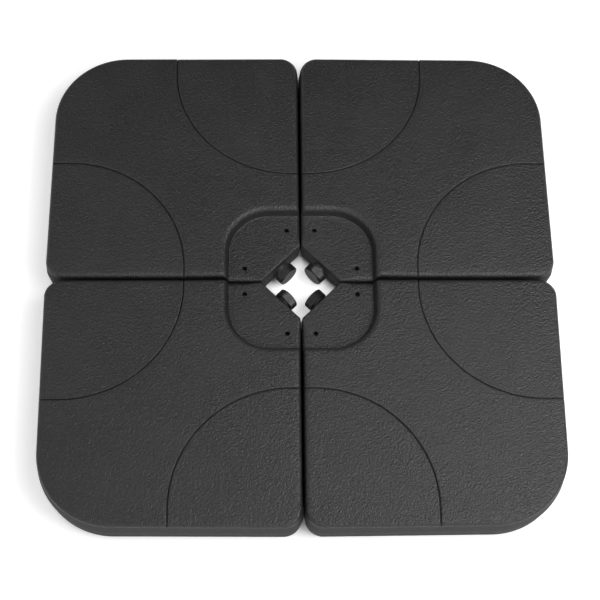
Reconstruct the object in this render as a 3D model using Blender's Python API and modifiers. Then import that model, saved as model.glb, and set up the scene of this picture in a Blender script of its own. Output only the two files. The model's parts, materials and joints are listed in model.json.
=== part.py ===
"""Weight base for a cantilever parasol: four blow-moulded tanks that make a square on the ground.

Each tank is a hollow quarter plate with a filler neck in its cut inner corner, closed by a screw cap with
a sealing ring. The four tanks are alike, a quarter turn apart. The origin is on the ground at the middle of
the square, +Z is up, +X is to the right and +Y to the rear. Lengths are in metres.
"""

import math

import bmesh
import bpy
from mathutils import Matrix, Vector

# Plan of the assembled base
SIDE = 1.000  # across the square, at the tanks' widest line
JOINT = 0.0004  # between two neighbouring tanks, at their widest line
THROAT = 0.0542  # from the middle of the square to the cut inner corners
CORNER_RADIUS = 0.147  # the square's four corners
END_RADIUS = 0.037  # a tank's corners at the two ends of its joints
TIP_RADIUS = 0.006  # beside the cut inner corner
LEAN = math.radians(0.45)  # the outer sides fall back towards the square's corners

# Section of a tank
HEIGHT = 0.075
PARTING = 0.035  # height of the mould's parting line, where a tank is widest
DRAFT = 0.0024  # taken off each side between the parting line and the top
TOP_ROUND = 0.0075
BASE_ROUND = 0.004
BEAD = 0.0003  # the parting line stands this proud
BEAD_WIDTH = 0.0024
WALL = 0.0032
RAIL = 0.030  # width of the foot rail around the underside
PANEL = 0.0022  # depth of the panel inside the foot rail

# The shared well for the mast's foot, in the middle of the square
WELL_FLOOR = 0.054
WELL_HALF = 0.141  # half the well's floor
WELL_RADIUS = 0.081  # the floor's corners
WELL_SLOPE = math.radians(18)  # of the well's side, from upright
WELL_LIP = 0.011  # radius where the side meets the top
WELL_EDGE_ROUND = 0.004  # the floor's edges at the joints and at the throat
WELL_STEPS = 8  # around each of the well's corners

# The two fan-shaped fields on each tank, drawn by a groove
FAN_RADIUS = 0.230
FAN_START = 0.228  # along the joint, where the groove leaves it
FAN_STRAIGHT = 0.020  # from the joint's line to the start of the arc
FAN_DROP = 0.0012  # the field lies this much below the rest of the top
GROOVE_HALF = 0.0016
GROOVE_HEIGHT = 0.0745  # middle of the groove's diamond section

# Pits in the well's floor
PIT_NEAR = 0.0275  # from one joint
PIT_FAR = 0.110  # from the other joint
PIT_RADIUS = 0.0031
PIT_DEPTH = 0.005

# Filler neck and its closure, in a frame whose +Z runs from the neck's rim to the middle of the square
NECK_HEIGHT = 0.026  # of the neck's axis above the ground
RIM = 0.0361  # from the middle of the square to the neck's rim
NECK_ROOT = 0.0570  # how far back the neck runs into the tank's wall
NECK_RADIUS = 0.0169
NECK_BORE = 0.0150
NECK_FLARE = 0.0210  # radius where the neck spreads into the tank's wall
FLARE_LENGTH = 0.0065
PITCH = 0.004
THREAD_DEPTH = 0.0013
THREAD_FOOT = 0.0016  # axial width where the thread leaves its wall
THREAD_CREST = 0.0008
THREAD_BURIED = 0.0006
THREAD_FADE = 3  # steps over which each end of a thread rises
THREAD_FIT = 0.0003  # between the two threads, across the axis
THREAD_STEPS = 24  # around one turn
NECK_THREAD = (-0.0103, -0.0034)  # where the neck's thread starts and ends, from the rim
CAP_THREAD = (-0.0113, -0.0036)
CAP_RADIUS = 0.0215
CAP_RIB = 0.0006  # depth of the grooves between the ribs
CAP_RIBS = 36
CAP_FACE = 0.0310  # from the middle of the square to the cap's closed end
CAP_LENGTH = 0.0170
CAP_TOP = 0.0025
CAP_BEVEL = 0.0012
CAP_BORE = NECK_RADIUS + THREAD_DEPTH + THREAD_FIT
SEAL_INNER = 0.0120
SEAL_OUTER = 0.0178
SEAL_THICK = 0.0020
GAP = 0.0003  # between touching pieces

QUARTERS = ("rear_right", "rear_left", "front_left", "front_right")


def clear_scene():
    for item in list(bpy.data.objects):
        bpy.data.objects.remove(item)


def collection(name):
    made = bpy.data.collections.new(name)
    bpy.context.scene.collection.children.link(made)
    return made


def plastic(name, colour, roughness):
    made = bpy.data.materials.new(name)
    made.use_nodes = True
    shader = made.node_tree.nodes["Principled BSDF"]
    shader.inputs["Base Color"].default_value = (*colour, 1)
    shader.inputs["Roughness"].default_value = roughness
    shader.inputs["Metallic"].default_value = 0
    return made


def put(name, mesh, place):
    made = bpy.data.objects.new(name, mesh)
    place.objects.link(made)
    return made


def loft(name, rings, place):
    """A closed body through a stack of rings with equal numbers of points, anticlockwise seen from its end."""
    shape = bmesh.new()
    stack = [[shape.verts.new(point) for point in ring] for ring in rings]
    for low, high in zip(stack, stack[1:]):
        for here in range(len(low)):
            after = (here + 1) % len(low)
            shape.faces.new((low[here], low[after], high[after], high[here]))
    shape.faces.new(list(reversed(stack[0])))
    shape.faces.new(stack[-1])
    mesh = bpy.data.meshes.new(name)
    shape.to_mesh(mesh)
    shape.free()
    return put(name, mesh, place)


def facing(angle):
    return Vector((math.cos(angle), math.sin(angle)))


def rounded(sides, radii, steps, height):
    """A convex outline at a height, anticlockwise, from its sides, each a normal's angle and a distance.

    radii[k] and steps[k] are for the corner where side k gives way to the next."""
    ring = []
    for k, (angle, reach) in enumerate(sides):
        next_angle, next_reach = sides[(k + 1) % len(sides)]
        turn = (next_angle - angle) % math.tau
        out = reach - radii[k]
        along = (next_reach - radii[k] - out * math.cos(turn)) / math.sin(turn)
        centre = facing(angle) * out + facing(angle + math.pi / 2) * along
        for step in range(steps[k] + 1):
            point = centre + facing(angle + turn * step / steps[k]) * radii[k]
            ring.append((point.x, point.y, height))
    return ring


def tank_ring(height, inset, detail=1):
    """The rear right tank's outline, moved in from its widest line."""
    right, rear, left, front = 0, math.pi / 2, math.pi, 3 * math.pi / 2
    sides = (
        (right + LEAN, SIDE / 2 - inset),
        (rear - LEAN, SIDE / 2 - inset),
        (left, -JOINT / 2 - inset),
        (left + math.pi / 4, -THROAT - inset),
        (front, -JOINT / 2 - inset),
    )
    corners = ((CORNER_RADIUS, 12), (END_RADIUS, 7), (TIP_RADIUS, 2), (TIP_RADIUS, 2), (END_RADIUS, 7))
    radii = [max(radius - inset, 0.001) for radius, _ in corners]
    steps = [max(2, round(count * detail)) for _, count in corners]
    return rounded(sides, radii, steps, height)


def well_ring(height, half, radius):
    sides = [(k * math.pi / 2, half) for k in range(4)]
    return rounded(sides, [radius] * 4, [WELL_STEPS] * 4, height)


def wall_inset(height):
    """How far the drafted side stands in from the parting line."""
    reach = HEIGHT - TOP_ROUND - PARTING if height > PARTING else PARTING - BASE_ROUND
    return BEAD + DRAFT * abs(height - PARTING) / reach


def tank_rings(top, top_round, within=0):
    """Rings of a tank's outside, or of a body just within it, from the ground up to a rounded top edge."""
    foot = top - top_round
    section = []
    for turn in (90, 45, 0):
        up, out = BASE_ROUND * facing(math.radians(turn)).yx
        section.append((BASE_ROUND - up, wall_inset(BASE_ROUND) + BASE_ROUND - out))
    section += [(PARTING - BEAD_WIDTH / 2, BEAD), (PARTING, 0), (PARTING + BEAD_WIDTH / 2, BEAD)]
    for turn in (0, 30, 60, 90):
        up, out = top_round * facing(math.radians(turn)).yx
        section.append((foot + up, wall_inset(foot) + top_round - out))
    return [tank_ring(height, inset + within) for height, inset in section]


def well_rings():
    """The space of the well, from below its floor to above the tanks."""
    lean = math.pi / 2 - WELL_SLOPE
    lip_foot = HEIGHT - WELL_LIP * (1 - math.cos(lean))
    lip_half = WELL_HALF + (lip_foot - WELL_FLOOR) * math.tan(WELL_SLOPE)
    section = [(WELL_FLOOR - 0.010, WELL_HALF), (WELL_FLOOR, WELL_HALF)]
    for step in range(4):
        turn = lean * step / 3
        over = WELL_LIP * (math.sin(lean) - math.sin(lean - turn))
        rise = WELL_LIP * (math.cos(lean - turn) - math.cos(lean))
        section.append((lip_foot + rise, lip_half + over))
    section.append((HEIGHT + 0.010, section[-1][1]))
    return [well_ring(height, half, half - WELL_HALF + WELL_RADIUS) for height, half in section]


def fan_path(start, finish):
    """The groove's line from outside the joint to outside the outer side, in plan."""
    centre = Vector((FAN_START + FAN_RADIUS, FAN_STRAIGHT))
    line = [Vector((FAN_START, start))]
    for step in range(13):
        turn = math.pi - math.pi / 2 * step / 12
        line.append(centre + FAN_RADIUS * Vector((math.cos(turn), math.sin(turn))))
    line.append(Vector((finish, centre.y + FAN_RADIUS)))
    return line


def prism(name, outline, low, high, place):
    return loft(name, [[(x, y, height) for x, y in outline] for height in (low, high)], place)


def diamond_bar(name, line, height, half, place):
    """A bar of diamond section along a line in plan."""
    rings = []
    for k, here in enumerate(line):
        ahead = (line[min(k + 1, len(line) - 1)] - line[max(k - 1, 0)]).normalized()
        aside = Vector((-ahead.y, ahead.x)) * half
        corners = ((1, 0), (0, half), (-1, 0), (0, -half))
        rings.append([(*(here + aside * out), height + rise) for out, rise in corners])
    return loft(name, rings, place)


def drum(name, radius, low, high, steps, place):
    """A round bar along Z."""
    shape = bmesh.new()
    middle = Matrix.Translation((0, 0, (low + high) / 2))
    bmesh.ops.create_cone(
        shape, cap_ends=True, segments=steps, radius1=radius, radius2=radius, depth=high - low, matrix=middle
    )
    mesh = bpy.data.meshes.new(name)
    shape.to_mesh(mesh)
    shape.free()
    return put(name, mesh, place)


def turned(name, section, place):
    """A body turned about Z from (radius, height) points, top first, that start and end on the axis."""
    mesh = bpy.data.meshes.new(name)
    points = [(radius, 0, height) for radius, height in section]
    mesh.from_pydata(points, [(k, k + 1) for k in range(len(points) - 1)], [])
    made = put(name, mesh, place)
    lathe = made.modifiers.new("turn", "SCREW")
    lathe.axis = "Z"
    lathe.angle = math.tau
    lathe.steps = THREAD_STEPS
    lathe.render_steps = THREAD_STEPS
    lathe.use_merge_vertices = True
    lathe.merge_threshold = 0.00001
    return made


def thread(name, root, crest, span, place, start=0):
    """A right-hand thread ridge about Z, fading at both ends, its foot a little inside the wall it stands on."""
    low, high = span
    count = round((high - low - THREAD_FOOT) / PITCH * THREAD_STEPS)
    buried = root + math.copysign(THREAD_BURIED, root - crest)
    rings = []
    for step in range(count + 1):
        angle = start + math.tau * step / THREAD_STEPS
        middle = low + THREAD_FOOT / 2 + PITCH * step / THREAD_STEPS
        run_in = min(1, step / THREAD_FADE, (count - step) / THREAD_FADE)
        tip = root + (crest - root) * max(run_in, 0.15)
        section = (
            (buried, -THREAD_FOOT / 2),
            (tip, -THREAD_CREST / 2),
            (tip, THREAD_CREST / 2),
            (buried, THREAD_FOOT / 2),
        )
        rings.append([(r * math.cos(angle), r * math.sin(angle), middle + rise) for r, rise in section])
    if crest < root:
        rings = [list(reversed(ring)) for ring in rings]
    return loft(name, rings, place)


def combine(body, operation, tools):
    for tool in tools:
        step = body.modifiers.new(tool.name, "BOOLEAN")
        step.operation = operation
        step.solver = "EXACT"
        step.object = tool
        tool.display_type = "WIRE"
        tool.hide_render = True


def finished_mesh(body, name):
    """The body's mesh with its modifiers worked in."""
    graph = bpy.context.evaluated_depsgraph_get()
    mesh = bpy.data.meshes.new_from_object(body.evaluated_get(graph))
    mesh.name = name
    mesh.shade_smooth()
    mesh.set_sharp_from_angle(angle=math.radians(30))
    return mesh


def closure_frame(quarter):
    """Where a tank's neck is: the rim's middle, with +Z towards the middle of the square and +X up."""
    inward = Vector((-1, -1, 0)).normalized()
    up = Vector((0, 0, 1))
    turn = Matrix((up, inward.cross(up), inward)).transposed().to_4x4()
    at = Matrix.Translation(-inward * RIM + up * NECK_HEIGHT)
    return Matrix.Rotation(quarter * math.pi / 2, 4, "Z") @ at @ turn


def hollow_rings():
    """The ballast space, a wall's thickness inside the tank."""
    floor = PANEL + WALL
    ceiling = HEIGHT - WALL - FAN_DROP
    levels = (
        (floor, 0.0085),
        (floor + 0.006, 0.0060),
        (PARTING, 0.0035),
        (ceiling - 0.010, 0.0060),
        (ceiling, 0.0120),
    )
    return [tank_ring(height, inset, 0.5) for height, inset in levels]


def tank_mesh(tools):
    """A hollow quarter plate, drawn at the rear right."""
    body = loft("tank_outside", tank_rings(HEIGHT, TOP_ROUND), tools)
    well = loft("well", well_rings(), tools)
    shelf = loft("well_shelf", tank_rings(WELL_FLOOR, WELL_EDGE_ROUND, within=0.00003), tools)
    combine(body, "DIFFERENCE", [well])
    combine(body, "UNION", [shelf])

    neck_place = closure_frame(0)
    root = RIM - NECK_ROOT
    flare = root + FLARE_LENGTH
    section = (
        (0, 0),
        (NECK_RADIUS, 0),
        (NECK_RADIUS, flare),
        (NECK_FLARE, flare - 0.005),
        (NECK_FLARE, root),
        (0, root),
    )
    neck = turned("neck", section, tools)
    neck_thread = thread("neck_thread", NECK_RADIUS, NECK_RADIUS + THREAD_DEPTH, NECK_THREAD, tools)
    for item in (neck, neck_thread):
        item.matrix_world = neck_place
    combine(body, "UNION", [neck, neck_thread])

    hollow = loft("hollow", hollow_rings(), tools)
    spread = 0.0030 + (HEIGHT + 0.010 - WELL_FLOOR + WALL) * math.tan(WELL_SLOPE)
    ceiling = loft(
        "hollow_ceiling",
        [
            well_ring(WELL_FLOOR - WALL, WELL_HALF + 0.0030, WELL_RADIUS + 0.0030),
            well_ring(HEIGHT + 0.010, WELL_HALF + spread, WELL_RADIUS + spread),
        ],
        tools,
    )
    bore = drum("neck_bore", NECK_BORE, RIM - 0.064, 0.001, THREAD_STEPS, tools)
    bore.matrix_world = neck_place
    combine(hollow, "DIFFERENCE", [ceiling])
    places = ((PIT_NEAR, PIT_FAR), (PIT_FAR, PIT_NEAR))
    pits = []
    for k, (x, y) in enumerate(places):
        boss = drum(f"pit_boss_{k}", PIT_RADIUS + 0.003, WELL_FLOOR - PIT_DEPTH - 0.003, WELL_FLOOR, 12, tools)
        pit = drum(f"pit_{k}", PIT_RADIUS, WELL_FLOOR - PIT_DEPTH, WELL_FLOOR + 0.002, 12, tools)
        for item in (boss, pit):
            item.location.x = x
            item.location.y = y
        combine(hollow, "DIFFERENCE", [boss])
        pits.append(pit)
    combine(hollow, "UNION", [bore])
    combine(body, "DIFFERENCE", [hollow, *pits])

    for mirrored in (False, True):
        path = fan_path(-0.010, 0.520)
        field = [*path, Vector((0.520, -0.010))]
        if mirrored:
            path = [point.yx for point in path]
            field = [point.yx for point in reversed(field)]
        else:
            path = list(reversed(path))
        side = "rear" if mirrored else "front"
        field.reverse()
        fan = prism(f"fan_{side}", field, HEIGHT - FAN_DROP, HEIGHT + 0.010, tools)
        groove = diamond_bar(f"groove_{side}", path, GROOVE_HEIGHT, GROOVE_HALF, tools)
        combine(body, "DIFFERENCE", [fan, groove])

    panel_rings = [tank_ring(-0.001, RAIL, 0.5), tank_ring(PANEL, RAIL + 0.002, 0.5)]
    combine(body, "DIFFERENCE", [loft("underside_panel", panel_rings, tools)])
    body.display_type = "WIRE"
    body.hide_render = True
    return finished_mesh(body, "tank")


def cap_mesh(tools):
    """A screw cap, its closed end towards +Z, in the closure's frame."""
    top = RIM - CAP_FACE
    low = top - CAP_LENGTH
    ceiling = top - CAP_TOP

    def ribbed(height, inset):
        ring = []
        for step in range(2 * CAP_RIBS):
            angle = math.pi * step / CAP_RIBS
            radius = CAP_RADIUS - inset - (CAP_RIB if step % 2 else 0)
            ring.append((radius * math.cos(angle), radius * math.sin(angle), height))
        return ring

    rings = [ribbed(low, 0), ribbed(top - CAP_BEVEL, 0), ribbed(top, CAP_BEVEL)]
    body = loft("cap_outside", rings, tools)
    bore = drum("cap_bore", CAP_BORE, low - 0.001, ceiling, THREAD_STEPS, tools)
    lead = (CAP_THREAD[0] - NECK_THREAD[0]) / PITCH + 0.5  # half a turn behind the neck's thread
    ridge = thread("cap_thread", CAP_BORE, CAP_BORE - THREAD_DEPTH, CAP_THREAD, tools, math.tau * lead)
    combine(body, "DIFFERENCE", [bore])
    combine(body, "UNION", [ridge])
    body.display_type = "WIRE"
    body.hide_render = True
    return finished_mesh(body, "cap")


def seal_mesh(tools):
    """A flat ring between the neck's rim and the cap."""
    body = drum("seal_outside", SEAL_OUTER, GAP, GAP + SEAL_THICK, THREAD_STEPS, tools)
    hole = drum("seal_hole", SEAL_INNER, 0, 2 * SEAL_THICK, THREAD_STEPS, tools)
    combine(body, "DIFFERENCE", [hole])
    body.display_type = "WIRE"
    body.hide_render = True
    return finished_mesh(body, "seal")


def main():
    clear_scene()
    parts = collection("parasol_base")
    tools = collection("tools")
    kinds = (
        ("tank", tank_mesh(tools), plastic("tank_plastic", (0.022, 0.022, 0.023), 0.55)),
        ("cap", cap_mesh(tools), plastic("cap_plastic", (0.018, 0.018, 0.019), 0.45)),
        ("seal", seal_mesh(tools), plastic("seal_rubber", (0.012, 0.012, 0.012), 0.75)),
    )
    middle = bpy.data.objects.new("base_middle", None)
    parts.objects.link(middle)
    for quarter, where in enumerate(QUARTERS):
        for kind, mesh, material in kinds:
            if not mesh.materials:
                mesh.materials.append(material)
            piece = put(f"{kind}_{where}", mesh, parts)
            piece.parent = middle
            if kind == "tank":
                piece.matrix_world = Matrix.Rotation(quarter * math.pi / 2, 4, "Z")
            else:
                piece.matrix_world = closure_frame(quarter)


main()
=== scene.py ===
"""Looks of a four-tank weight base for a cantilever parasol.

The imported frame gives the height, the well's floor, the closures' axes and the bodies. The tanks, screw caps
and sealing rings are made again here with fine rounds, grooves, pits, ribs and threads, and with the grain of
moulded plastic. One tank is drawn, at the rear right, and turned into the other three quarters. Lengths are
in metres.
"""

import json
import math

import bmesh
import bpy
import numpy as np
from mathutils import Matrix, Vector
from mathutils.geometry import delaunay_2d_cdt


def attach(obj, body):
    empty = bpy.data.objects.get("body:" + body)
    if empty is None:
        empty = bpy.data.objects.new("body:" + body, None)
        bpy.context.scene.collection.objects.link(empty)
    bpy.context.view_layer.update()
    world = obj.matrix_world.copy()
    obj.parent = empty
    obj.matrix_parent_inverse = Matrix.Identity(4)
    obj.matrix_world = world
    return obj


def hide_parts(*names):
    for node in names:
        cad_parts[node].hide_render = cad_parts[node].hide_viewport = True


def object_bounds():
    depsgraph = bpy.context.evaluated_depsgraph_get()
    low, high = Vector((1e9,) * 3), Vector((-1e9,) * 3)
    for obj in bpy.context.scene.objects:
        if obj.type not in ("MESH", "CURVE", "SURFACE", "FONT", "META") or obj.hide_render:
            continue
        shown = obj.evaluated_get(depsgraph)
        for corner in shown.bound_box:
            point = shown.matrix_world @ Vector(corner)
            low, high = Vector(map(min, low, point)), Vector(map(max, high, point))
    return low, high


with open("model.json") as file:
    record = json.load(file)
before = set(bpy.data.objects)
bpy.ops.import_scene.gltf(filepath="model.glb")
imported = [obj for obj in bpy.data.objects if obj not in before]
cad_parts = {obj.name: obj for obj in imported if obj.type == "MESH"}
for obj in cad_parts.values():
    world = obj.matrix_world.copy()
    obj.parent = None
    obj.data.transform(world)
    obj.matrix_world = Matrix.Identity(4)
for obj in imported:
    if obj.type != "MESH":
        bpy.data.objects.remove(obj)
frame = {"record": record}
cad_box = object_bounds()

QUARTERS = ("rear_right", "rear_left", "front_left", "front_right")
mounts = {mount["name"]: mount for mount in frame["record"]["mounts"]}
joints = {joint["name"]: joint for joint in frame["record"]["behaviour"]["joints"]}
filler = joints["unscrew_rear_right"]

# Plan of a tank, at its widest line
HALF_SIDE = 0.500
JOINT = 0.0004
THROAT = 0.0542
CORNER_RADIUS = 0.147
END_RADIUS = 0.037
TIP_RADIUS = 0.0072
LEAN = math.radians(0.45)

# Section of a tank
HEIGHT = cad_box[1].z
PARTING = 0.035
DRAFT = 0.0024
BEAD = 0.0003
BEAD_HALF = 0.0012
BASE_ROUND = 0.004
TOP_ROUND = 0.0065  # at the outer sides
JOINT_ROUND = 0.0090  # at the joints
THROAT_ROUND = 0.0032  # at the cut inner corner
THROAT_EASE = (0.078, 0.030)  # where the throat's round starts to widen along a joint, and over what length
LOWER_HEIGHTS = (0.012, 0.020, 0.028)  # rings between the ground's round and the parting line
RAIL = 0.030
PANEL = 0.0022
PANEL_STEPS = ((0, 0), (0.0008, 0.0003), (0.0024, PANEL - 0.0003), (0.0034, PANEL))  # past the rail, height

# The mast's well
WELL_FLOOR = mounts["mast_seat_rear_right"]["pos_m"][2]
WELL_CENTRE = 0.060  # of its corner arcs, from both joints
WELL_RADIUS = 0.081  # of its floor's corners
WELL_SLOPE = math.radians(18)
WELL_LIP = 0.0112
WELL_FOOT = 0.0018

# Fan-shaped fields, each bounded by a groove
FAN_RADIUS = 0.230
FAN_START = 0.228
FAN_STRAIGHT = 0.020
FAN_DROP = 0.0012
GROOVE = ((-0.0030, 0), (-0.0018, -0.0001), (-0.0013, -0.0005), (-0.0010, -0.0016), (-0.0006, -0.0042),
          (0.0004, -0.0042), (0.0009, -0.0026), (0.0013, -0.0016), (0.0019, -FAN_DROP), (0.0030, -FAN_DROP))

# The crown of a tank's top
CROWN = 0.0018
CROWN_MIDDLE = 0.250
CROWN_START = 0.095
CROWN_FADE = 0.060

# Pits in the well's floor: radius from the middle of a pit, height from the floor
PITS = ((0.0275, 0.110), (0.110, 0.0275))
PIT = ((0.0054, 0), (0.0049, -0.0001), (0.0046, -0.0006), (0.0045, -0.0018), (0.0044, -0.0130))
PIT_STEPS = 20

# Filler neck, sealing ring and cap, along the axis that runs from the neck's rim to the middle of the base
RIM = Vector(filler["pos_m"])
NECK_RADIUS = 0.0169
NECK_BORE = 0.0150
NECK_FLARE = 0.0210
NECK_LENGTH = 0.0209
PITCH = 0.004
THREAD_DEPTH = 0.0013
NECK_THREAD = (-0.0103, -0.0034)
CAP_THREAD = (-0.0113, -0.0036)
CAP_RADIUS = 0.0215
CAP_RIB = 0.00075
CAP_RIBS = 36
CAP_TOP = 0.0051
CAP_LENGTH = 0.0170
CAP_BORE = 0.0185
SEAL_INNER = 0.0120
SEAL_OUTER = 0.0178
SEAL_LOW = 0.0003
SEAL_HIGH = 0.0023


# ---------------------------------------------------------------- plan and section of a tank

def facing(angle):
    return np.array((math.cos(angle), math.sin(angle)))


def wall_inset(height):
    """How far the drafted side stands in from the widest line."""
    reach = np.where(height > PARTING, HEIGHT - TOP_ROUND - PARTING, PARTING - BASE_ROUND)
    return BEAD + DRAFT * np.abs(height - PARTING) / reach


def well_section():
    """The well's side as (distance from its corner centre, height), from the floor to the top."""
    lean = math.pi / 2 - WELL_SLOPE
    foot = WELL_RADIUS + WELL_FOOT * math.tan(lean / 2)
    points = [(0, WELL_FLOOR)]
    for step in range(5):
        turn = lean * step / 4
        out = foot - WELL_FOOT * math.tan(lean / 2) * 2 + WELL_FOOT * math.sin(turn)
        points.append((out, WELL_FLOOR + WELL_FOOT * (1 - math.cos(turn))))
    lip_drop = WELL_LIP * (1 - math.cos(lean))
    start, low = points[-1]
    end = start + (HEIGHT - lip_drop - low) * math.tan(WELL_SLOPE)
    for part in (1 / 3, 2 / 3):
        points.append((start + (end - start) * part, low + (HEIGHT - lip_drop - low) * part))
    for step in range(9):
        turn = lean * (1 - step / 8)
        over = WELL_LIP * (math.sin(lean) - math.sin(turn))
        points.append((end + over, HEIGHT - WELL_LIP * (1 - math.cos(turn))))
    return points


WELL_SECTION = well_section()
GROOVE_ACROSS = [across for across, _ in GROOVE]


def from_well(x, y):
    """Distance from the centre of the well's corner arc, which names the ring of the well's side."""
    return np.hypot(np.maximum(x - WELL_CENTRE, 0), np.maximum(y - WELL_CENTRE, 0))


def into_fan(x, y):
    """How far a point lies inside the fan that starts on the front joint."""
    middle = FAN_START + FAN_RADIUS
    arc = FAN_RADIUS - np.hypot(x - middle, y - FAN_STRAIGHT)
    return np.where(y < FAN_STRAIGHT, x - FAN_START, np.where(x > middle, FAN_STRAIGHT + FAN_RADIUS - y, arc))


def crown(x, y):
    """How far the top falls away towards a tank's sides, as a moulded hollow does."""
    bows = [np.clip(1 - ((value - CROWN_MIDDLE) / CROWN_MIDDLE) ** 2, 0, 1) for value in (x, y)]
    fade = np.clip((from_well(x, y) - CROWN_START) / CROWN_FADE, 0, 1)
    return CROWN * (1 - (bows[0] * bows[1]) ** 0.5) * fade


def top_height(x, y):
    """Height of a tank's upper side."""
    out, rise = zip(*WELL_SECTION)
    height = np.interp(from_well(x, y), out, rise) - crown(x, y)
    across, drop = zip(*GROOVE)
    for a, b in ((x, y), (y, x)):
        height = height + np.interp(into_fan(a, b), across, drop)
    for a, b in PITS:
        radii, depths = zip(*PIT[::-1])
        height = height + np.interp(np.hypot(x - a, y - b), radii, depths)
    return height


# ---------------------------------------------------------------- a tank's mesh

SIDES = (
    (LEAN, HALF_SIDE),
    (math.pi / 2 - LEAN, HALF_SIDE),
    (math.pi, -JOINT / 2),
    (math.pi * 5 / 4, -THROAT),
    (math.pi * 3 / 2, -JOINT / 2),
)
CORNERS = ((CORNER_RADIUS, 48), (END_RADIUS, 20), (TIP_RADIUS, 6), (TIP_RADIUS, 6), (END_RADIUS, 20))
SIDE_STEP = 0.009
EDGE_INSET = 0.0092  # about where the top round ends
LINE_START = 0.017  # of the well's rings, from a joint
FAN_LINE_START = 0.0172  # of the fans' lines, from a joint
FAN_LINE_ENDS = (0.466, 0.474, 0.482)  # last points of the fans' lines, before the outer side
TOP_NET = (0.010, 0.0042)  # spacing of the net, and its clearance from the lines
UNDERSIDE_NET = (0.016, 0.006)


def corner_centre(k):
    (angle, reach), (after, next_reach) = SIDES[k], SIDES[(k + 1) % len(SIDES)]
    radius = CORNERS[k][0]
    turn = (after - angle) % math.tau
    out = reach - radius
    along = (next_reach - radius - out * math.cos(turn)) / math.sin(turn)
    return facing(angle) * out + facing(angle + math.pi / 2) * along


def crossings(k):
    """(axis, value) of each line that meets side k."""
    well = [WELL_CENTRE + out for out, _ in WELL_SECTION[1:]]
    starts = [FAN_START + across for across in GROOVE_ACROSS]
    ends = [FAN_STRAIGHT + FAN_RADIUS - across for across in GROOVE_ACROSS]
    return {0: [(1, v) for v in ends], 1: [(0, v) for v in ends], 2: [(1, v) for v in well + starts],
            3: [], 4: [(0, v) for v in well + starts]}[k]


def rim_line():
    """Points on the widest line, anticlockwise, with their outward directions and the lines they lie on."""
    points, normals, marks = [], [], []
    for k, (angle, reach) in enumerate(SIDES):
        normal, ahead = facing(angle), facing(angle + math.pi / 2)
        start = corner_centre(k - 1) @ ahead
        end = corner_centre(k) @ ahead
        stops = {}
        for axis, value in crossings(k):
            stops[(value - normal[axis] * (reach - EDGE_INSET)) / ahead[axis]] = (k, round(value, 6))
        count = max(1, round((end - start) / SIDE_STEP))
        for step in range(1, count):
            at = start + (end - start) * step / count
            if all(abs(at - other) > SIDE_STEP * 0.45 for other in stops):
                stops[at] = None
        for at in sorted(stops):
            points.append(normal * reach + ahead * at)
            normals.append(normal)
            marks.append(stops[at])
        centre = corner_centre(k)
        radius, steps = CORNERS[k]
        turn = (SIDES[(k + 1) % len(SIDES)][0] - angle) % math.tau
        for step in range(steps + 1):
            normal = facing(angle + turn * step / steps)
            points.append(centre + normal * radius)
            normals.append(normal)
            marks.append(None)
    return np.array(points), np.array(normals), marks


def eased(part):
    """A smooth step from 0 to 1."""
    part = np.clip(part, 0, 1)
    return part * part * (3 - 2 * part)


def side_rings(points, normals):
    """Rings of a tank's side from the ground to where its top round ends."""

    def ring(height, inset):
        plan = points - normals * np.reshape(inset, (-1, 1))
        return np.column_stack((plan, np.broadcast_to(height, len(plan))))

    rings = []
    for degrees in (90, 60, 30, 0):
        turn = math.radians(degrees)
        inset = wall_inset(BASE_ROUND) + BASE_ROUND * (1 - math.cos(turn))
        rings.append(ring(BASE_ROUND * (1 - math.sin(turn)), inset))
    for height in LOWER_HEIGHTS:
        rings.append(ring(height, wall_inset(height)))
    for part, stand in ((-1, 1), (-0.6, 0.75), (-0.3, 0.2), (0, 0), (0.3, 0.2), (0.6, 0.75), (1, 1)):
        rings.append(ring(PARTING + part * BEAD_HALF, BEAD * stand))

    toward_joint = eased((-normals.min(1) - 0.1) / 0.8)
    from_throat = eased((points.max(1) - THROAT_EASE[0]) / THROAT_EASE[1])
    radius = TOP_ROUND + (JOINT_ROUND - TOP_ROUND) * toward_joint
    radius = THROAT_ROUND + (radius - THROAT_ROUND) * from_throat
    plan = points - normals * (wall_inset(HEIGHT - radius) + radius)[:, None]
    height = top_height(plan[:, 0], plan[:, 1])
    foot = height - radius
    bead_top = PARTING + BEAD_HALF
    for part in (0.25, 0.5, 0.75):
        middle = bead_top + (foot - bead_top) * part
        rings.append(ring(middle, wall_inset(middle)))
    for step in range(9):
        turn = math.pi / 2 * step / 8
        rings.append(ring(foot + radius * math.sin(turn), wall_inset(foot) + radius * (1 - math.cos(turn))))
    return rings


def quarter_ring(out):
    """The well's ring at a distance from its corner centre, from the rear joint to the front one."""
    reach = WELL_CENTRE + out
    line = [(LINE_START + (WELL_CENTRE - LINE_START) * step / 6, reach) for step in range(6)]
    for step in range(31):
        line.append(tuple(WELL_CENTRE + out * facing(math.pi / 2 * (1 - step / 30))))
    return line + [(y, x) for x, y in reversed(line[:6])]


def fan_line(across):
    """A line inside the fan's groove, from the front joint to the right side."""
    middle = FAN_START + FAN_RADIUS
    line = [(FAN_START + across, FAN_LINE_START)]
    radius = FAN_RADIUS - across
    for step in range(61):
        line.append(tuple(np.array((middle, FAN_STRAIGHT)) + radius * facing(math.pi * (1 - step / 120))))
    return line + [(x, FAN_STRAIGHT + radius) for x in FAN_LINE_ENDS]


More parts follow.
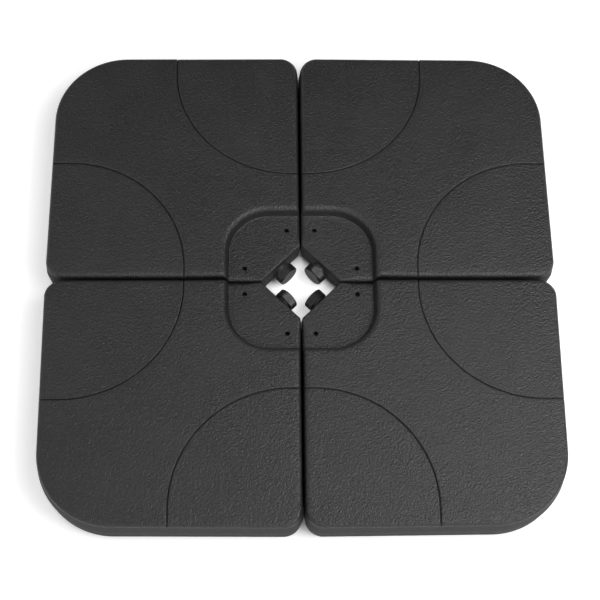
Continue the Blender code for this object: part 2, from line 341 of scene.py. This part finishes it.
def fill(border, lines, loops, spacing, margin):
    """Triangles over the border's inside, with every line and loop an edge line, on a fine even net.

    A line is (index of its first border point, its inner points, index of its last border point)."""
    places = [tuple(point) for point in border]
    edges = [(k, (k + 1) % len(border)) for k in range(len(border))]
    for first, inner, last in lines:
        chain = [first, *range(len(places), len(places) + len(inner)), last]
        places += inner
        edges += list(zip(chain, chain[1:]))
    for loop in loops:
        chain = list(range(len(places), len(places) + len(loop)))
        places += loop
        edges += list(zip(chain, chain[1:] + chain[:1]))
    fixed = np.array(places)
    low, high = fixed.min(0), fixed.max(0)
    rows = np.arange(low[1], high[1], spacing * math.sqrt(3) / 2)
    columns = np.arange(low[0], high[0], spacing)
    net = np.array([(x + (spacing / 2 if k % 2 else 0), y) for k, y in enumerate(rows) for x in columns])
    kept = np.ones(len(net), bool)
    for point in fixed:
        kept &= np.abs(net - point).max(1) > margin
    for a, b in edges:
        start, along = fixed[a], fixed[b] - fixed[a]
        part = np.clip((net - start) @ along / max(along @ along, 1e-12), 0, 1)
        kept &= np.hypot(*(net - start - part[:, None] * along).T) > margin
    outline = np.array(border)
    following = np.roll(outline, -1, 0)
    crossed = np.zeros(len(net), int)
    for a, b in zip(outline, following):
        spans = (a[1] > net[:, 1]) != (b[1] > net[:, 1])
        reach = a[0] + (net[:, 1] - a[1]) * (b[0] - a[0]) / (b[1] - a[1] if b[1] != a[1] else 1)
        crossed += spans & (net[:, 0] < reach)
    inside = crossed % 2 == 1
    places += [tuple(point) for point in net[kept & inside]]
    found = delaunay_2d_cdt([Vector(point) for point in places], edges, [], 1, 1e-7)
    return np.array([tuple(point) for point in found[0]]), found[2], found[3]


def tank_outside():
    """The rear right tank's closed outside, without its neck."""
    points, normals, marks = rim_line()
    rings = side_rings(points, normals)
    count = len(points)
    mesh = bmesh.new()
    grid = [[mesh.verts.new(point) for point in ring] for ring in rings]
    for low, high in zip(grid, grid[1:]):
        for k in range(count):
            after = (k + 1) % count
            mesh.faces.new((low[k], low[after], high[after], high[k]))

    where = {mark: k for k, mark in enumerate(marks) if mark}
    lines = []
    for out, _ in WELL_SECTION[1:]:
        value = round(WELL_CENTRE + out, 6)
        lines.append((where[2, value], quarter_ring(out), where[4, value]))
    for across in GROOVE_ACROSS:
        start, end = round(FAN_START + across, 6), round(FAN_STRAIGHT + FAN_RADIUS - across, 6)
        line = fan_line(across)
        lines.append((where[4, start], line, where[0, end]))
        lines.append((where[2, start], [(y, x) for x, y in line], where[1, end]))
    loops = []
    for x, y in PITS:
        for radius, _ in PIT:
            turns = [math.tau * step / PIT_STEPS for step in range(PIT_STEPS)]
            loops.append([tuple(np.array((x, y)) + radius * facing(turn)) for turn in turns])
    border = [tuple(point[:2]) for point in rings[-1]]
    places, faces, sources = fill(border, lines, loops, *TOP_NET)
    heights = top_height(places[:, 0], places[:, 1])
    own = {source: k for k, found in enumerate(sources) for source in found if source < count}
    made = {}
    for source, k in own.items():
        made[k] = grid[-1][source]
    for k, (x, y) in enumerate(places):
        if k not in made:
            made[k] = mesh.verts.new((x, y, heights[k]))
    for face in faces:
        mesh.faces.new([made[k] for k in face])

    panel = []
    for past_rail, height in PANEL_STEPS:
        inset = RAIL + past_rail
        sides = [(angle, reach - inset) for angle, reach in SIDES]
        radii = [max(radius - inset, 0.008) for radius, _ in CORNERS]
        panel.append((rounded_plan(sides, radii), height))
    border = [tuple(point[:2]) for point in rings[0]]
    places, faces, sources = fill(border, [], [loop for loop, _ in panel], *UNDERSIDE_NET)
    owners = {source: k for k, found in enumerate(sources) for source in found}
    heights = np.zeros(len(places))
    first = count
    for loop, height in panel:
        for step in range(len(loop)):
            heights[owners[first + step]] = height
        first += len(loop)
    for source in range(first, max(owners) + 1):
        if source in owners and inside_plan(places[owners[source]], panel[-1][0]):
            heights[owners[source]] = PANEL
    made = {owners[source]: grid[0][source] for source in range(count)}
    for k, (x, y) in enumerate(places):
        if k not in made:
            made[k] = mesh.verts.new((x, y, heights[k]))
    for face in faces:
        mesh.faces.new([made[k] for k in reversed(face)])
    bmesh.ops.recalc_face_normals(mesh, faces=mesh.faces)
    return mesh


def rounded_plan(sides, radii):
    """A convex rounded outline from its sides' directions and distances."""
    line = []
    for k, (angle, reach) in enumerate(sides):
        after, next_reach = sides[(k + 1) % len(sides)]
        turn = (after - angle) % math.tau
        out = reach - radii[k]
        along = (next_reach - radii[k] - out * math.cos(turn)) / math.sin(turn)
        centre = facing(angle) * out + facing(angle + math.pi / 2) * along
        steps = max(4, round(radii[k] * turn / 0.006))
        line += [tuple(centre + radii[k] * facing(angle + turn * step / steps)) for step in range(steps + 1)]
    return line


def inside_plan(point, outline):
    """Whether a point is inside a convex anticlockwise outline."""
    line = np.array(outline)
    ahead = np.roll(line, -1, 0) - line
    away = point - line
    return bool(np.all(ahead[:, 0] * away[:, 1] - ahead[:, 1] * away[:, 0] > 0))


# ---------------------------------------------------------------- turned pieces

def turned(section, steps, closed, relief=None):
    """A body turned about Z from (radius, height) points, outer side first. relief adds to the radius."""
    mesh = bmesh.new()
    turns = [math.tau * step / steps for step in range(steps)]
    rings = []
    for k, (radius, height) in enumerate(section):
        if radius == 0:
            rings.append([mesh.verts.new((0, 0, height))] * steps)
            continue
        ring = []
        for turn in turns:
            out = radius + (relief(k, turn, height) if relief else 0)
            ring.append(mesh.verts.new((out * math.cos(turn), out * math.sin(turn), height)))
        rings.append(ring)
    pairs = list(zip(rings, rings[1:]))
    if closed:
        pairs.append((rings[-1], rings[0]))
    for high, low in pairs:
        for k in range(steps):
            after = (k + 1) % steps
            corners = [low[k], low[after], high[after], high[k]]
            mesh.faces.new(list(dict.fromkeys(corners)))
    bmesh.ops.recalc_face_normals(mesh, faces=mesh.faces)
    return mesh


def arc(centre_radius, centre_height, size, start, end, steps):
    """Points of a rounded edge in a section, angles in degrees from the outward radius."""
    found = []
    for step in range(steps + 1):
        turn = math.radians(start + (end - start) * step / steps)
        found.append((centre_radius + size * math.cos(turn), centre_height + size * math.sin(turn)))
    return found


def ridge(height, turn, span, lead):
    """A thread's rise, 0 to 1, at a height and turn. lead is the turn by which it lags the neck's thread."""
    low, high = span
    along = (height - NECK_THREAD[0]) / PITCH - (turn / math.tau) - lead
    off = abs((along + 0.5) % 1 - 0.5) * PITCH
    rise = min(1, max(0, (0.00085 - off) / 0.00045))
    fade = min(1, max(0, (height - low) / 0.0008), max(0, (high - height) / 0.0008))
    return rise * max(0, fade)


def neck_body():
    """The threaded filler neck as a solid, from inside the tank's wall to its rim."""
    root = -NECK_LENGTH
    section = [(0, root), (NECK_FLARE + 0.0012, root)]
    for step in range(9):
        flare = 0.0054 * (1 - math.sin(math.pi / 2 * step / 8)) ** 1.6
        section.append((NECK_RADIUS + flare, root + 0.0012 + 0.0070 * step / 8))
    first_thread = len(section)
    rise = section[-1][1]
    count = 64
    section += [(NECK_RADIUS, rise + (-0.0016 - rise) * step / count) for step in range(1, count + 1)]
    last_thread = len(section)
    section += arc(NECK_RADIUS - 0.0005, -0.0005, 0.0005, 0, 90, 4)
    section.append((0, 0))

    def relief(k, turn, height):
        return THREAD_DEPTH * ridge(height, turn, NECK_THREAD, 0) if first_thread <= k < last_thread else 0

    return section, relief


def cap_body():
    """The screw cap: ribbed skirt, bevelled closed end and threaded bore."""
    top, low = CAP_TOP, CAP_TOP - CAP_LENGTH
    ceiling = top - 0.0025
    section = [(0, top - 0.0003), (0.0165, top - 0.0003), (0.0169, top - 0.0002), (0.0172, top)]
    section.append((CAP_RADIUS - 0.0022, top))
    section += arc(CAP_RADIUS - 0.0022, top - 0.0014, 0.0014, 80, 20, 4)
    skirt = len(section)
    start = section[-1][1]
    section += [(CAP_RADIUS, start - 0.0006), (CAP_RADIUS, start - 0.0012)]
    for step in range(1, 7):
        section.append((CAP_RADIUS, start - 0.0012 + (low + 0.0022 - start + 0.0012) * step / 6))
    section += [(CAP_RADIUS, low + 0.0015), (CAP_RADIUS, low + 0.0012)]
    skirt_end = len(section)
    section += [(CAP_RADIUS, low + 0.0004), (CAP_RADIUS - 0.0004, low)]
    section += [(CAP_BORE + 0.0004, low), (CAP_BORE, low + 0.0004)]
    bore = len(section)
    count = 48
    section += [(CAP_BORE, low + 0.0004 + (-0.0030 - low) * step / count) for step in range(1, count + 1)]
    bore_end = len(section)
    section += [(CAP_BORE, ceiling - 0.0006), (CAP_BORE - 0.0006, ceiling), (0, ceiling)]
    lead = 0.5

    def relief(k, turn, height):
        if skirt <= k < skirt_end:
            wave = 0.5 - 0.5 * math.cos(CAP_RIBS * turn)
            ends = min(1, (k - skirt + 0.4) / 2, (skirt_end - k) / 2)
            return -CAP_RIB * wave**1.5 * max(0, ends)
        if bore <= k < bore_end:
            return -THREAD_DEPTH * ridge(height, turn, CAP_THREAD, lead)
        return 0

    return section, relief


def seal_body():
    """The flat sealing ring, with softened edges."""
    soft = 0.0004
    section = arc(SEAL_OUTER - soft, SEAL_HIGH - soft, soft, 90, 0, 3)
    section += arc(SEAL_OUTER - soft, SEAL_LOW + soft, soft, 0, -90, 3)
    section += arc(SEAL_INNER + soft, SEAL_LOW + soft, soft, -90, -180, 3)
    section += arc(SEAL_INNER + soft, SEAL_HIGH - soft, soft, 180, 90, 3)
    return section


# ---------------------------------------------------------------- shaders

class Wire:
    """A socket in a node tree. Arithmetic on it adds Math nodes."""

    def __init__(self, shop, socket):
        self.shop = shop
        self.socket = socket

    def _sum(self, operation, first, second):
        return self.shop.node("ShaderNodeMath", {"operation": operation}, {0: first, 1: second})

    def __add__(self, other):
        return self._sum("ADD", self, other)

    def __radd__(self, other):
        return self._sum("ADD", other, self)

    def __sub__(self, other):
        return self._sum("SUBTRACT", self, other)

    def __rsub__(self, other):
        return self._sum("SUBTRACT", other, self)

    def __mul__(self, other):
        return self._sum("MULTIPLY", self, other)

    def __rmul__(self, other):
        return self._sum("MULTIPLY", other, self)


class Shop:
    """A node tree with one method that adds any node."""

    def __init__(self, tree):
        self.tree = tree
        tree.nodes.clear()

    def node(self, kind, settings=None, sockets=None, out=0):
        made = self.tree.nodes.new(kind)
        for name, value in (settings or {}).items():
            setattr(made, name, value)
        for key, value in (sockets or {}).items():
            if isinstance(value, Wire):
                self.tree.links.new(value.socket, made.inputs[key])
            else:
                made.inputs[key].default_value = value
        return Wire(self, made.outputs[out]) if made.outputs else made


def new_material(name):
    made = bpy.data.materials.new(name)
    made.use_nodes = True
    return made, Shop(made.node_tree)


def ramp(shop, value, low, high, at_low, at_high):
    """A value carried from one range to another and held at the ends."""
    return shop.node("ShaderNodeMapRange", {}, {0: value, 1: low, 2: high, 3: at_low, 4: at_high})


def noise(shop, place, scale, detail, roughness):
    sockets = {"Vector": place, "Scale": scale, "Detail": detail, "Roughness": roughness}
    return shop.node("ShaderNodeTexNoise", {}, sockets)


def maths(shop, operation, first, second=0.0):
    return shop.node("ShaderNodeMath", {"operation": operation}, {0: first, 1: second})


def spans(shop, place):
    """How far a place lies from the base's middle along X and along Y."""
    parts = [shop.node("ShaderNodeSeparateXYZ", {}, {0: place}, out=k) for k in range(2)]
    return [maths(shop, "ABSOLUTE", part) for part in parts]


def moulded_plastic(name, dark, light, roughness, grain, grain_size, grain_height, matte_sides=0.0):
    """Pigmented plastic with the fine leathery grain of its mould.

    dark and light are the colours between which the surface wanders, grain_size is the pitch of the grain,
    and matte_sides is how much rougher the upright sides are than the top."""
    made, shop = new_material(name)
    place = shop.node("ShaderNodeTexCoord", out=3)
    cell_sockets = {"Vector": place, "Scale": 1 / grain_size, "Smoothness": 0.5}
    cells = shop.node("ShaderNodeTexVoronoi", {"feature": "SMOOTH_F1"}, cell_sockets)
    leather = noise(shop, place, 0.5 / grain_size, 3.0, 0.7)
    speck = noise(shop, place, 0.8 / grain_size, 2.0, 0.8)
    cloud = noise(shop, place, 9.0, 5.0, 0.6)
    sharp_cloud = ramp(shop, cloud, 0.3, 0.7, 0.0, 1.0)
    sharp_speck = ramp(shop, speck, 0.3, 0.7, 0.0, 1.0)
    colour = shop.node(
        "ShaderNodeMix",
        {"data_type": "RGBA"},
        {0: sharp_cloud * 0.4 + sharp_speck * 0.6, 6: (*dark, 1), 7: (*light, 1)},
        out=2,
    )
    sheen = roughness + (sharp_cloud - 0.5) * 0.06 + (sharp_speck - 0.5) * 0.10
    if matte_sides:
        rise = shop.node("ShaderNodeSeparateXYZ", {}, {0: shop.node("ShaderNodeTexCoord", out=1)}, out=2)
        upright = ramp(shop, rise, 0.05, 0.30, matte_sides, 0.0)
        x, y = spans(shop, place)
        outside = ramp(shop, maths(shop, "MAXIMUM", x, y), 0.43, 0.45, 0.0, 1.0)
        in_throat = ramp(shop, x + y, 0.09, 0.11, 1.0, 0.0)
        sheen = sheen + upright * (outside + in_throat)
    height = leather * 1.0 + cells * 0.5
    bump = shop.node("ShaderNodeBump", {}, {"Strength": grain, "Distance": grain_height, "Height": height})
    shader = shop.node(
        "ShaderNodeBsdfPrincipled",
        {},
        {"Base Color": colour, "Roughness": sheen, "Normal": bump, "IOR": 1.5, "Specular IOR Level": 0.5},
    )
    shop.node("ShaderNodeOutputMaterial", {}, {0: shader})
    return made


# Material, its two colours, roughness, its grain's strength, pitch and height, and the roughness added on
# upright sides
PLASTICS = {
    "tank": ("tank_plastic", (0.007, 0.007, 0.0075), (0.018, 0.018, 0.0185), 0.38, 1.0, 0.0028, 0.0016, 0.5),
    "cap": ("cap_plastic", (0.008, 0.008, 0.0085), (0.013, 0.013, 0.0135), 0.15, 0.3, 0.0007, 0.0002, 0.5),
    "seal": ("seal_rubber", (0.008, 0.008, 0.008), (0.015, 0.015, 0.015), 0.7, 0.3, 0.0005, 0.0002),
}
# Strengths of the painted light on the floor: emission around the base and in its throat that washes out the
# shade there
FLOOR_PAINTED_LIGHT = 0.36
THROAT_PAINTED_LIGHT = 0.46


def studio_floor():
    """White paper with painted light: it glows a little around the base and in its throat, washing out the
    shade that falls there, and not beneath the tanks.
    """
    made, shop = new_material("floor_paper_painted_light")
    place = shop.node("ShaderNodeTexCoord", out=3)
    x, y = spans(shop, place)
    past_x, past_y = (maths(shop, "MAXIMUM", span - (HALF_SIDE - CORNER_RADIUS), 0.0) for span in (x, y))
    out = maths(shop, "SQRT", past_x * past_x + past_y * past_y)
    # Painted light: emission that brightens the floor's shade next to the base and in the throat
    around = ramp(shop, out, CORNER_RADIUS - 0.03, CORNER_RADIUS, 0.0, FLOOR_PAINTED_LIGHT)
    throat = ramp(shop, x + y, 0.060, 0.080, THROAT_PAINTED_LIGHT, 0.0)
    painted_light = around + throat
    painted_light_colour = shop.node("ShaderNodeCombineColor", {}, {0: painted_light, 1: painted_light, 2: painted_light})
    paper = {"Base Color": (0.9, 0.9, 0.9, 1), "Roughness": 0.9}
    painted_light_emission = {"Emission Color": painted_light_colour, "Emission Strength": 1.0}
    shader = shop.node("ShaderNodeBsdfPrincipled", {}, paper | painted_light_emission)
    shop.node("ShaderNodeOutputMaterial", {}, {0: shader})
    return made


# ---------------------------------------------------------------- assembly

def quarter_turn(quarter):
    return Matrix.Rotation(quarter * math.pi / 2, 4, "Z")


def closure_place():
    """The rear right neck's rim, with +Z towards the middle of the base and +X up."""
    inward = Vector(filler["axis"]).normalized()
    up = Vector((0, 0, 1))
    turn = Matrix((up, inward.cross(up), inward)).transposed().to_4x4()
    return Matrix.Translation(RIM) @ turn


def piece(name, mesh, material, body, node):
    """An object of the shared model, in the place of a CAD node."""
    made = bpy.data.objects.new(name, mesh)
    bpy.context.collection.objects.link(made)
    mesh.materials.clear()
    mesh.materials.append(material)
    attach(made, body)
    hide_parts(node)
    return made


def kept_mesh(shape, name, sharp):
    mesh = bpy.data.meshes.new(name)
    shape.to_mesh(mesh)
    shape.free()
    mesh.shade_smooth()
    mesh.set_sharp_from_angle(angle=math.radians(sharp))
    return mesh


def tank_master():
    """The tank's outside joined to its neck, with the bore left open."""
    outside = bpy.data.objects.new("tank_outside", kept_mesh(tank_outside(), "tank_outside", 40))
    bore_section = [(0, 0.004), (NECK_BORE, 0.004), (NECK_BORE, -NECK_LENGTH - 0.010),
                    (NECK_BORE * 0.8, -NECK_LENGTH - 0.014), (0, -NECK_LENGTH - 0.014)]
    section, relief = neck_body()
    solid = kept_mesh(turned(section, 96, False, relief), "neck_solid", 40)
    bore = kept_mesh(turned(bore_section, 96, False), "neck_bore", 40)
    place = closure_place()
    tools = []
    for operation, mesh in (("UNION", solid), ("DIFFERENCE", bore)):
        mesh.transform(place)
        tool = bpy.data.objects.new(mesh.name, mesh)
        bpy.context.collection.objects.link(tool)
        tools.append(tool)
        step = outside.modifiers.new(mesh.name, "BOOLEAN")
        step.operation = operation
        step.solver = "EXACT"
        step.object = tool
    bpy.context.collection.objects.link(outside)
    graph = bpy.context.evaluated_depsgraph_get()
    mesh = bpy.data.meshes.new_from_object(outside.evaluated_get(graph))
    for item in (outside, *tools):
        bpy.data.objects.remove(item)
    mesh.shade_smooth()
    mesh.set_sharp_from_angle(angle=math.radians(40))
    return mesh


def build_base():
    plastics = {kind: moulded_plastic(*settings) for kind, settings in PLASTICS.items()}
    section, relief = cap_body()
    masters = {
        "tank": tank_master(),
        "cap": kept_mesh(turned(section, CAP_RIBS * 8, False, relief), "cap", 40),
        "seal": kept_mesh(turned(seal_body(), 96, True), "seal", 50),
    }
    for kind in ("cap", "seal"):
        masters[kind].transform(closure_place())
    for quarter, where in enumerate(QUARTERS):
        for kind, master in masters.items():
            mesh = master.copy()
            mesh.transform(quarter_turn(quarter))
            node = f"{kind}_{where}"
            piece(f"{node}_fine", mesh, plastics[kind], node, node)


# Glows of the studio's walls: azimuth, the elevations where one starts, peaks and ends, and its strength
GLOWS = (
    (-math.pi / 2, 0, 20, 40, 1.7),
    (-math.pi / 2, 20, 42, 60, 1.4),
    (math.pi, 20, 40, 60, 2.0),
    (math.pi / 2, 0, 10, 25, 0.5),
    (0, 10, 25, 45, 0.5),
)

# Softboxes: name, place, size, power
SOFTBOXES = (
    ("key_softbox", (1.6, -1.0, 2.0), 1.0, 20.0),
    ("side_softbox", (1.2, 0.2, 1.9), 1.0, 11.0),
    ("top_softbox", (1.0, -0.4, 2.6), 1.6, 30.0),
    ("fill_softbox", (-1.2, 0.4, 2.2), 1.2, 6.0),
)


def studio_sky():
    """Dark all round, but for a pale horizon and the glows of the walls."""
    world = bpy.data.worlds.new("studio")
    bpy.context.scene.world = world
    world.use_nodes = True
    shop = Shop(world.node_tree)
    direction = shop.node("ShaderNodeTexCoord", out=0)
    x, y, z = (shop.node("ShaderNodeSeparateXYZ", {}, {0: direction}, out=k) for k in range(3))
    elevation = maths(shop, "ARCSINE", z) * (180 / math.pi)
    level = ramp(shop, elevation, 4.0, 10.0, 0.9, 0.0)
    for azimuth, start, peak, end, strength in GLOWS:
        rise = ramp(shop, elevation, start, peak, 0.0, strength)
        fall = ramp(shop, elevation, peak, end, strength, 0.0)
        along = maths(shop, "MAXIMUM", x * math.cos(azimuth) + y * math.sin(azimuth), 0.0)
        aside = maths(shop, "DIVIDE", along * along, x * x + y * y)
        level = level + maths(shop, "MINIMUM", rise, fall) * aside
    sky = shop.node("ShaderNodeBackground", {}, {"Color": (1, 1, 1, 1), "Strength": level})
    shop.node("ShaderNodeOutputWorld", {}, {0: sky})


def studio():
    """A pale lit floor with painted light around the base and in its throat, glowing walls in front and on the
    left, and softboxes on the right.
    """
    bpy.ops.mesh.primitive_plane_add(size=60, location=(0, 0, 0))
    floor = bpy.context.object
    floor.name = "floor"
    floor.data.materials.append(studio_floor())
    studio_sky()
    for name, place, size, power in SOFTBOXES:
        light = bpy.data.lights.new(name, "AREA")
        light.shape = "RECTANGLE"
        light.size = size
        light.size_y = size
        light.energy = power
        made = bpy.data.objects.new(name, light)
        made.location = place
        made.rotation_euler = (-made.location).to_track_quat("-Z", "Y").to_euler()
        bpy.context.collection.objects.link(made)


CAMERA_AT = Vector((-0.0806, -1.203, 2.794))
CAMERA_DOWN = math.radians(66.95)
CAMERA_YAW = math.radians(-3.85)
CAMERA_ROLL = math.radians(3.48)
CAMERA_LENS = 91.8


def camera():
    yaw, down, roll = CAMERA_YAW, CAMERA_DOWN, CAMERA_ROLL
    right = Vector((math.cos(yaw), math.sin(yaw), 0))
    ahead = Vector((-math.sin(yaw), math.cos(yaw), 0))
    up = Vector((0, 0, 1))
    look = ahead * math.cos(down) - up * math.sin(down)
    rise = ahead * math.sin(down) + up * math.cos(down)
    across = right * math.cos(roll) + rise * math.sin(roll)
    top = rise * math.cos(roll) - right * math.sin(roll)
    data = bpy.data.cameras.new("camera")
    data.lens = CAMERA_LENS
    data.sensor_width = 36
    made = bpy.data.objects.new("camera", data)
    turn = Matrix((across, top, -look)).transposed().to_4x4()
    made.matrix_world = Matrix.Translation(CAMERA_AT) @ turn
    bpy.context.collection.objects.link(made)
    bpy.context.scene.camera = made


camera()
studio()
build_base()
bpy.context.scene.view_settings.view_transform = "Standard"
